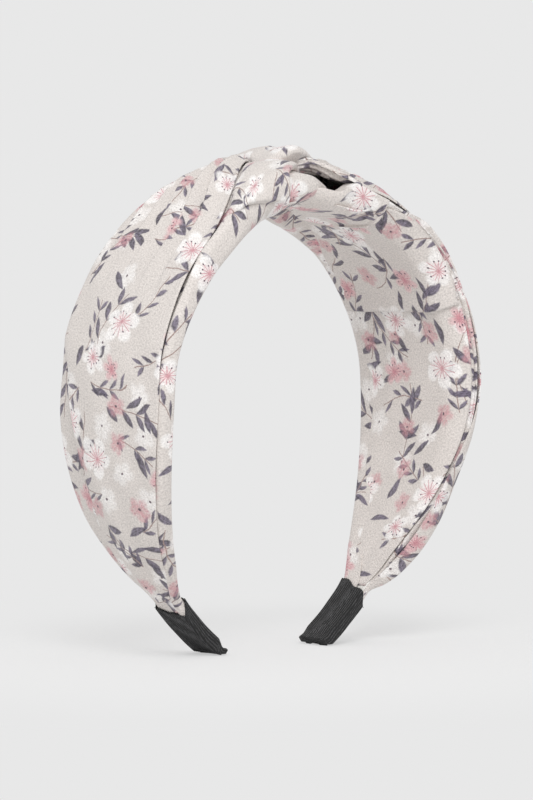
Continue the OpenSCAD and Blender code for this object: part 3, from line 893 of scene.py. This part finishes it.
def padding(side, name):
    """Wadding over the core, crowned on top; on the left arm it stays inside the drawn-in edge."""
    t = np.linspace(ARM_DEG, RIBBON_DEG - 6.0, 130)[:, None]
    v = np.linspace(-1.0, 1.0, 60)[None, :]
    half = layer_w(t, COVER_W) / 2 - 3.2
    thick = (PAD_T - 0.3 + 0.7 * PAD_SWELL * (1.0 - v ** 2)) * padding_share(t) * (1.0 - v ** 8)
    across = v * half
    if side == LEFT:
        across = across - DRAWN_IN_W * drawn_in(t) * np.maximum(v, 0.0)
    low = np.maximum(CORE_HALF + 0.2, inner_rise(side, t, across) - CORE_HALF)
    points = on_arm(side, t, across, np.maximum(CORE_HALF + 0.55 + thick, low + 0.1))
    under = on_arm(side, t, across, low)
    ring = np.concatenate([points, under[:, ::-1]], axis=1)
    rows, cols = ring.shape[:2]
    index = np.arange(rows * cols).reshape(rows, cols)
    faces = quads(np.concatenate([index, index[:, :1]], axis=1)).tolist()
    faces += [index[0, ::-1].tolist(), index[-1].tolist()]
    return make_object(name, ring.reshape(-1, 3), faces, WADDING)


def ribbon_mouth(side, across, n):
    """Where a ribbon starts: further down on the outside and in front, with a slightly wavy edge."""
    in_front = 1.2 if side == LEFT else 2.6
    mouth = RIBBON_DEG - 0.4 + 2.5 * step(n, -RIBBON_HALF_N, RIBBON_HALF_N)
    mouth = mouth + 0.2 * np.sin(across * 0.9 + 0.6)
    return mouth + in_front * step(side * across, -RIBBON_HALF_Y, RIBBON_HALF_Y)


def ribbon_section(count):
    """Points round a flat sleeve with rounded corners, and how far round each lies, from 0 to 1."""
    corner = 0.9
    quarter = math.pi / 2 * corner
    wide, high = 2 * (RIBBON_HALF_Y - corner), 2 * (RIBBON_HALF_N - corner)
    length = 2 * (wide + high) + 4 * quarter
    s = np.arange(count) / count * length
    points = np.zeros((count, 2))
    start = 0.0
    place = np.array([-wide / 2, RIBBON_HALF_N])
    for straight, turn in ((wide, 0), (high, 90), (wide, 180), (high, 270)):
        along = np.array([cos_deg(turn), -sin_deg(turn)])
        outward = np.array([sin_deg(turn), cos_deg(turn)])
        on = (s >= start) & (s < start + straight)
        points[on] = place + np.outer(s[on] - start, along)
        place = place + along * straight
        start = start + straight
        hub = place - outward * corner
        on = (s >= start) & (s < start + quarter)
        bend = (s[on] - start) / corner
        points[on] = hub + corner * (np.outer(np.cos(bend), outward) + np.outer(np.sin(bend), along))
        place = hub + along * corner
        start = start + quarter
    return points[None, :, 0], points[None, :, 1], s[None, :] / length


def tip_ribbon(side, name):
    """Ribbed sleeve, folded shut at the end and flat where it stands."""
    ribs = 32
    thick = 0.45
    across, n, around = ribbon_section(520)
    share = np.concatenate([np.linspace(0.0, 1.0, 61), np.ones(8)])[:, None]
    shrink = np.concatenate([np.ones(61), np.linspace(0.98, 0.04, 8)])[:, None]
    mouth = ribbon_mouth(side, across, n)
    t = mouth + (END_DEG - mouth) * share
    # The end is pressed thin from its inner face
    pressed = step(t, END_DEG - 3.2, END_DEG - 1.4) * (1.0 - 0.4 * step(t, END_DEG - 1.0, END_DEG - 0.2))
    press = 1.4 if side == LEFT else 0.5
    n = n * (1.0 + 0.035 * np.cos(2 * math.pi * ribs * around))
    n = n + press * pressed * (n < 0.0) * (-n / RIBBON_HALF_N)
    slack = 1.0 + 0.012 * np.sin(t * 0.9) + 0.03 * (1.0 - step(share, 0.0, 0.2))
    points = on_arm(side, t, across * slack * shrink, n * shrink)
    points[..., 2] = np.maximum(points[..., 2], thick)
    return cloth(name, points, thick, RIBBON, closed=True)


def thread_tree():
    """Geometry nodes that lay one short thread bar on every vertex."""
    tree = bpy.data.node_groups.new("thread_bars", "GeometryNodeTree")
    face = tree.interface
    face.new_socket("Geometry", in_out="INPUT", socket_type="NodeSocketGeometry")
    face.new_socket("Geometry", in_out="OUTPUT", socket_type="NodeSocketGeometry")
    for label in ("Length", "Lift", "Thread radius", "Turn"):
        face.new_socket(label, in_out="INPUT", socket_type="NodeSocketFloat")
    face.new_socket("Material", in_out="INPUT", socket_type="NodeSocketMaterial")
    g = Graph(tree)
    given = g.add("NodeGroupInput").outputs
    bar = g.add("GeometryNodeCurveQuadraticBezier")
    g.put(bar.inputs["Resolution"], 8)
    for end, factor in (("Start", -0.5), ("End", 0.5)):
        g.put(bar.inputs[end], g.vector(0.0, g.times(given["Length"], factor), 0.0))
    g.put(bar.inputs["Middle"], g.vector(0.0, 0.0, given["Lift"]))
    ring = g.add("GeometryNodeCurvePrimitiveCircle")
    g.put(ring.inputs["Resolution"], 8)
    g.put(ring.inputs["Radius"], given["Thread radius"])
    solid = g.add("GeometryNodeCurveToMesh")
    g.put(solid.inputs["Fill Caps"], True)
    g.put(solid.inputs["Curve"], bar.outputs["Curve"])
    g.put(solid.inputs["Profile Curve"], ring.outputs["Curve"])
    turn = g.add("FunctionNodeRandomValue", data_type="FLOAT_VECTOR")
    g.put(turn.inputs["Seed"], 7)
    for socket, sign in (("Min", -1.0), ("Max", 1.0)):
        limit = g.times(given["Turn"], sign)
        g.put(turn.inputs[socket], g.vector(limit, limit, limit))
    laid = g.add("GeometryNodeInstanceOnPoints")
    g.put(laid.inputs["Points"], given["Geometry"])
    g.put(laid.inputs["Instance"], solid.outputs[0])
    g.put(laid.inputs["Rotation"], turn.outputs["Value"])
    real = g.add("GeometryNodeRealizeInstances")
    g.put(real.inputs[0], laid.outputs[0])
    paint = g.add("GeometryNodeSetMaterial")
    g.put(paint.inputs["Geometry"], real.outputs[0])
    g.put(paint.inputs["Material"], given["Material"])
    g.put(g.add("NodeGroupOutput").inputs[0], paint.outputs[0])
    return tree


THREAD_TREE = thread_tree()


def thread_bars(name, points, material, **sizes):
    """Thread bars on the given points, as a plain mesh."""
    obj = make_object(name, points, [], material)
    modifier = obj.modifiers.new("threads", "NODES")
    modifier.node_group = THREAD_TREE
    values = {key.replace("_", " ").capitalize(): value for key, value in sizes.items()}
    values["Material"] = material
    for item in THREAD_TREE.interface.items_tree:
        if item.name in values:
            modifier[item.identifier] = values[item.name]
    seen = bpy.context.evaluated_depsgraph_get()
    mesh = bpy.data.meshes.new_from_object(obj.evaluated_get(seen))
    obj.modifiers.clear()
    obj.data = mesh
    mesh.polygons.foreach_set("use_smooth", [True] * len(mesh.polygons))
    return obj


def knot_tacks():
    """Tacks that hold the folds' hems to the crown's lining."""
    rows = [on_arm(side, np.array([-7.0, -2.0, 4.0]), -8.5, -CORE_HALF - 2.0) for side in (LEFT, RIGHT)]
    return thread_bars("knot_tack_threads", np.concatenate(rows), THREAD,
                       length=4.0 * MM, lift=-0.6 * MM, thread_radius=0.3 * MM, turn=0.2)


def loose_threads(side, name):
    """Short loose threads at the ribbon's mouth."""
    across = np.linspace(-5.6, 5.6, 24)
    t = ribbon_mouth(side, across, RIBBON_HALF_N)
    return thread_bars(name, on_arm(side, t, across, RIBBON_HALF_N - 0.1), RIBBON,
                       length=1.6 * MM, lift=0.4 * MM, thread_radius=0.06 * MM, turn=1.2)


def bend_with(obj):
    """Bakes a piece's placement into its mesh."""
    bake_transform(obj)


def build_arm(side):
    """One arm's pieces; shift moves the right arm to another part of the print."""
    word = "left" if side == LEFT else "right"
    shift = 0.0 if side == LEFT else 410.0
    pieces = {
        "outer_wrap": (outer_wrap(side, word + "_outer_cloth", (shift, 0.0)), (0.05, 0.175), "stretched"),
        "knot_loop": (knot_fold(side, word + "_fold_cloth", (shift + 90, 37.0)), (0.03, 0.2), "gathered"),
        "edge_wrap": (far_strip(side, word + "_edge_cloth", (shift + 160, 71.0)), (0.022, 0.17), "stretched"),
        "lining_upper": (
            lining(side, word + "_upper_lining_cloth", 8.0, SEAM_DEG + 0.6, (shift + 220, 13.0)),
            (0.05, 0.06), "stretched"),
        "lining_lower": (
            lining(side, word + "_lower_lining_cloth", SEAM_DEG - 0.4, 129.5, (shift + 300, 53.0)),
            (0.048, 0.082), "stretched"),
        "wrap_tail": (wrap_tail(side, word + "_tail_cloth", (shift + 360, 29.0)), (0.026, 0.03), "laid"),
    }
    for node, (obj, _, _) in pieces.items():
        bend_with(obj)
        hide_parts(f"{word}_{node}")
    core = core_half(side, word + "_core_half")
    bend_with(core)
    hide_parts("core_band")
    pad = padding(side, word + "_wadding")
    bend_with(pad)
    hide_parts(word + "_padding")
    ribbon = tip_ribbon(side, word + "_ribbon_sleeve")
    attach(ribbon, word + "_arm")
    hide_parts(word + "_tip_ribbon")
    threads = loose_threads(side, word + "_ribbon_threads")
    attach(threads, word + "_arm")


build_arm(LEFT)
build_arm(RIGHT)

for node, obj in (
    ("crown_lining", crown_sheet("crown_lining_cloth", -CORE_HALF - 1.6, 0.4, (700.0, 0.0), True)),
    ("knot_underlay", crown_sheet("knot_underlay_cloth", CORE_HALF + 0.9, 0.7, (800.0, 0.0), False)),
):
    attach(obj, "crown")
    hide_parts(node)

tacks = knot_tacks()
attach(tacks, "crown")
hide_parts("knot_tacks")

# Stage, light and camera


def make_floor():
    """Pale floor with soft shadows near the tips, fading into the backdrop's even grey."""
    bpy.ops.mesh.primitive_plane_add(size=12.0)
    floor = bpy.context.object
    floor.name = "floor"
    material, g = new_material("floor")
    diffuse = g.add("ShaderNodeBsdfDiffuse")
    diffuse.inputs["Color"].default_value = linear(241, 241, 241)
    glow = g.add("ShaderNodeEmission")
    glow.inputs["Color"].default_value = BACKDROP
    at = g.add("ShaderNodeTexCoord").outputs["Object"]
    length = g.add("ShaderNodeVectorMath", operation="LENGTH")
    g.put(length.inputs[0], at)
    far = g.scaled(g.smooth(length.outputs["Value"], 0.06, 0.2), 0.4, 0.6)
    seen = g.add("ShaderNodeLightPath").outputs["Is Camera Ray"]
    g.mix_shader(g.times(far, seen), diffuse, glow, "ShaderNodeOutputMaterial")
    floor.data.materials.append(material)


def make_world():
    """Even white light all round, which the camera sees as the backdrop's grey."""
    world = bpy.data.worlds.new("studio")
    world.use_nodes = True
    bpy.context.scene.world = world
    g = Graph(world.node_tree)
    seen = g.add("ShaderNodeLightPath").outputs["Is Camera Ray"]
    light = g.add("ShaderNodeBackground")
    light.inputs["Color"].default_value = (1.0, 1.0, 1.0, 1.0)
    light.inputs["Strength"].default_value = 0.67
    shown = g.add("ShaderNodeBackground")
    shown.inputs["Color"].default_value = BACKDROP
    g.mix_shader(seen, light, shown, "ShaderNodeOutputWorld")


def aim(obj, target):
    direction = obj.location - target
    obj.rotation_euler = direction.to_track_quat("Z", "Y").to_euler()


def add_light(name, place, target, size, power):
    data = bpy.data.lights.new(name, "AREA")
    data.size = size
    data.energy = power
    obj = bpy.data.objects.new(name, data)
    bpy.context.collection.objects.link(obj)
    obj.location = place
    aim(obj, Vector(target))


def make_camera():
    """The photo's view: from the front, well to the left and a little above."""
    azimuth, elevation, distance = math.radians(40.38), math.radians(2.394), 1.126
    target = Vector((0.0, 0.0, 0.07282))
    photo_h = 800
    level = math.cos(elevation)
    away = Vector((-math.sin(azimuth) * level, -math.cos(azimuth) * level, math.sin(elevation)))
    data = bpy.data.cameras.new("camera")
    data.lens = 160.97
    data.shift_x = -5.9 / photo_h
    data.shift_y = 19.5 / photo_h
    camera = bpy.data.objects.new("camera", data)
    bpy.context.collection.objects.link(camera)
    camera.location = target + away * distance
    aim(camera, target)
    bpy.context.scene.camera = camera


make_floor()
make_world()
add_light("key", place=(-0.78, -1.0, 1.35), target=(0.0, 0.0, 0.08), size=0.8, power=16.0)
make_camera()
bpy.context.scene.view_settings.view_transform = "Standard"
